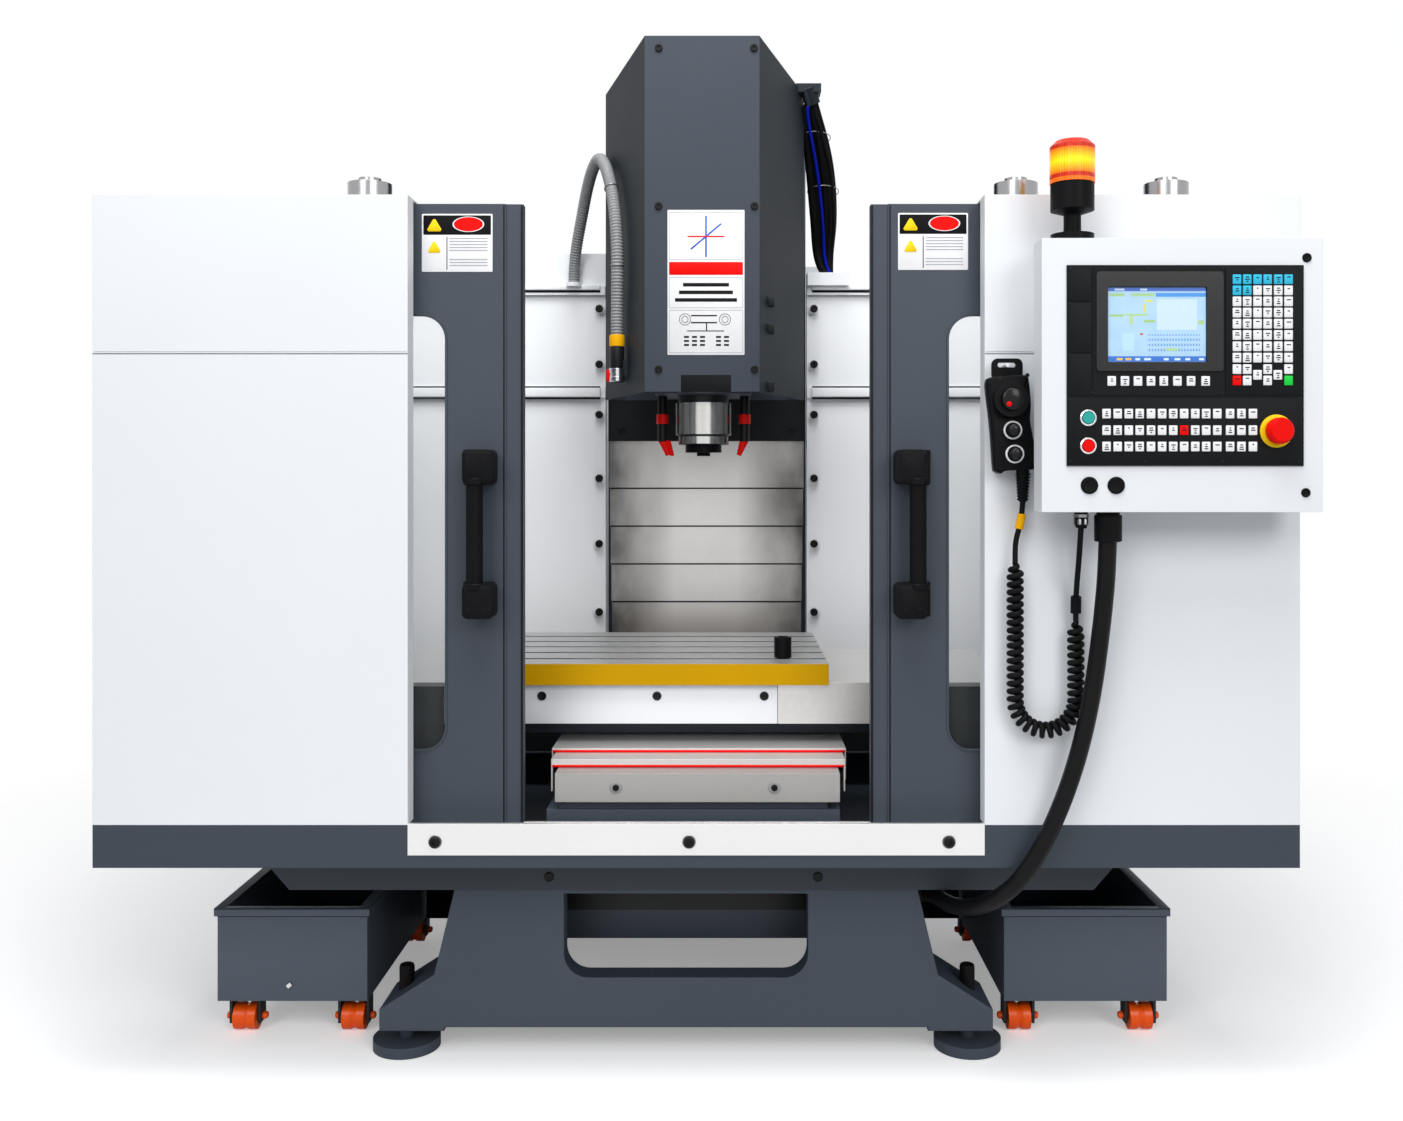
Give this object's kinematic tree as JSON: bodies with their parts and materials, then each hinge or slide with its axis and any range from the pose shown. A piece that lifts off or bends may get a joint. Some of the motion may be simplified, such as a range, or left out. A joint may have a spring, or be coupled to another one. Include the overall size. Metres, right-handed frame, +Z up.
{
  "type": "cnc machining center",
  "caption": "Vertical machining center with a sliding-door enclosure, travelling table, spindle head, telescopic way covers, control box, hand pendant and wheeled coolant tanks.",
  "frame": {"origin": "floor level, below the middle of the machine's overall box", "axes": "+X to the operator's right, +Y from the front to the back, +Z up"},
  "size_m": [2.415, 2.212, 2.3219],
  "materials": {
    "casting_grey": "fine textured grey paint on cast iron",
    "foot_black": "black oxide steel",
    "tray_grey": "satin grey paint",
    "trim_grey": "fine textured grey paint",
    "cabinet_white": "fine textured white paint",
    "stainless": "brushed stainless sheet",
    "door_grey": "fine textured grey paint",
    "window_glass": "clear laminated pane",
    "handle_black": "matt black moulding",
    "cover_steel": "brushed cover sheet",
    "table_iron": "ground iron top with yellow painted sides",
    "spindle_chrome": "ground and plated",
    "dark_steel": "dark satin steel",
    "panel_black": "satin black panel",
    "screen_glass": "lit screen",
    "button_green": "moulded cap",
    "button_red": "moulded cap",
    "lens_amber": "ribbed amber lens",
    "cable_black": "smooth black sheath",
    "hose_grey": "corrugated grey hose",
    "wheel_orange": "orange cast tread"
  },
  "bodies": {
    "root": {"base_casting": "casting_grey", "leveling_feet": "foot_black", "column": "casting_grey", "chip_tray": "tray_grey", "enclosure_skirt": "trim_grey", "left_cabinet": "cabinet_white", "right_cabinet": "cabinet_white", "front_sill": "stainless", "rear_walls": "cabinet_white", "electrical_cabinet": "cabinet_white", "y_cover_front": "cover_steel", "z_cover_bottom": "cover_steel", "control_box": "cabinet_white", "control_panel": "panel_black", "display_screen": "screen_glass", "beacon_base": "handle_black", "beacon_lens": "lens_amber", "pendant_body": "handle_black", "pendant_cable": "cable_black", "curly_cord": "cable_black", "conduit": "cable_black", "cable_bundle": "cable_black", "air_hose": "hose_grey", "cable_glands": "cable_black", "left_tank": "trim_grey", "right_tank": "trim_grey"},
    "left_door": {"left_door": "door_grey", "left_door_glass": "window_glass", "left_door_handle": "handle_black"},
    "right_door": {"right_door": "door_grey", "right_door_glass": "window_glass", "right_door_handle": "handle_black"},
    "saddle": {"saddle": "casting_grey", "y_cover_rear": "cover_steel"},
    "y_cover_middle": {"y_cover_middle": "cover_steel"},
    "table": {"table": "table_iron", "table_skirt": "cabinet_white", "x_covers": "cover_steel", "tool_setter": "handle_black"},
    "head": {"head_casting": "casting_grey", "head_hood": "trim_grey", "spindle_housing": "spindle_chrome", "coolant_nozzles": "handle_black", "z_apron": "dark_steel", "z_cover_top": "cover_steel"},
    "spindle": {"spindle_shaft": "dark_steel", "taper_plug": "handle_black"},
    "z_cover_upper": {"z_cover_upper": "cover_steel"},
    "z_cover_middle": {"z_cover_middle": "cover_steel"},
    "z_cover_lower": {"z_cover_lower": "cover_steel"},
    "start_button": {"start_button": "button_green"},
    "stop_button": {"stop_button": "button_red"},
    "emergency_stop": {"emergency_stop": "button_red"},
    "handwheel": {"handwheel": "handle_black"},
    "axis_knob": {"axis_knob": "handle_black"},
    "step_knob": {"step_knob": "handle_black"},
    "left_tank_front_wheels": {"left_tank_front_wheels": "wheel_orange"},
    "left_tank_rear_wheels": {"left_tank_rear_wheels": "wheel_orange"},
    "right_tank_front_wheels": {"right_tank_front_wheels": "wheel_orange"},
    "right_tank_rear_wheels": {"right_tank_rear_wheels": "wheel_orange"}
  },
  "joints": [
    {"name": "left_door_slide", "type": "slide", "parent": "root", "child": "left_door", "axis": [1, 0, 0], "range_m": [-0.095, 0.3555]},
    {"name": "right_door_slide", "type": "slide", "parent": "root", "child": "right_door", "axis": [-1, 0, 0], "range_m": [-0.095, 0.3555]},
    {"name": "saddle_slide", "type": "slide", "parent": "root", "child": "saddle", "axis": [0, 1, 0], "range_m": [-0.105, 0.215]},
    {"name": "y_cover_slide", "type": "slide", "parent": "root", "child": "y_cover_middle", "axis": [0, 1, 0], "range_m": [-0.0525, 0.1075]},
    {"name": "table_slide", "type": "slide", "parent": "saddle", "child": "table", "axis": [1, 0, 0], "range_m": [-0.236, 0.463]},
    {"name": "head_slide", "type": "slide", "parent": "root", "child": "head", "axis": [0, 0, 1], "range_m": [-0.38, 0.13], "deforming": ["air_hose", "cable_bundle"]},
    {"name": "z_cover_upper_slide", "type": "slide", "parent": "root", "child": "z_cover_upper", "axis": [0, 0, 1], "range_m": [-0.285, 0.0975]},
    {"name": "z_cover_middle_slide", "type": "slide", "parent": "root", "child": "z_cover_middle", "axis": [0, 0, 1], "range_m": [-0.19, 0.065]},
    {"name": "z_cover_lower_slide", "type": "slide", "parent": "root", "child": "z_cover_lower", "axis": [0, 0, 1], "range_m": [-0.095, 0.0325]},
    {"name": "spindle_turn", "type": "hinge", "parent": "head", "child": "spindle", "pos_m": [0, -0.22, 1.4], "axis": [0, 0, 1], "continuous": true},
    {"name": "start_button_press", "type": "slide", "parent": "root", "child": "start_button", "axis": [0, 1, 0], "range_m": [0, 0.003], "stiffness_N_per_m": 600, "springref_m": -0.002},
    {"name": "stop_button_press", "type": "slide", "parent": "root", "child": "stop_button", "axis": [0, 1, 0], "range_m": [0, 0.003], "stiffness_N_per_m": 600, "springref_m": -0.002},
    {"name": "emergency_stop_press", "type": "slide", "parent": "root", "child": "emergency_stop", "axis": [0, 1, 0], "range_m": [0, 0.006]},
    {"name": "handwheel_turn", "type": "hinge", "parent": "root", "child": "handwheel", "pos_m": [0.61831, -0.985, 1.40385], "axis": [0, 1, 0], "continuous": true},
    {"name": "axis_knob_turn", "type": "hinge", "parent": "root", "child": "axis_knob", "pos_m": [0.62323, -0.985, 1.34405], "axis": [0, 1, 0], "range_deg": [-60, 60]},
    {"name": "step_knob_turn", "type": "hinge", "parent": "root", "child": "step_knob", "pos_m": [0.62708, -0.985, 1.29721], "axis": [0, 1, 0], "range_deg": [-60, 60]},
    {"name": "left_tank_front_wheels_roll", "type": "hinge", "parent": "root", "child": "left_tank_front_wheels", "pos_m": [-0.9055, -0.585, 0.03], "axis": [1, 0, 0], "continuous": true},
    {"name": "left_tank_rear_wheels_roll", "type": "hinge", "parent": "root", "child": "left_tank_rear_wheels", "pos_m": [-0.9055, -0.025, 0.03], "axis": [1, 0, 0], "continuous": true},
    {"name": "right_tank_front_wheels_roll", "type": "hinge", "parent": "root", "child": "right_tank_front_wheels", "pos_m": [0.858, -0.585, 0.03], "axis": [1, 0, 0], "continuous": true},
    {"name": "right_tank_rear_wheels_roll", "type": "hinge", "parent": "root", "child": "right_tank_rear_wheels", "pos_m": [0.858, -0.025, 0.03], "axis": [1, 0, 0], "continuous": true}
  ],
  "couplings": [
    {"joint": "y_cover_slide", "follows": "saddle_slide", "ratio": 0.5},
    {"joint": "z_cover_upper_slide", "follows": "head_slide", "ratio": 0.75},
    {"joint": "z_cover_middle_slide", "follows": "head_slide", "ratio": 0.5},
    {"joint": "z_cover_lower_slide", "follows": "head_slide", "ratio": 0.25}
  ]
}
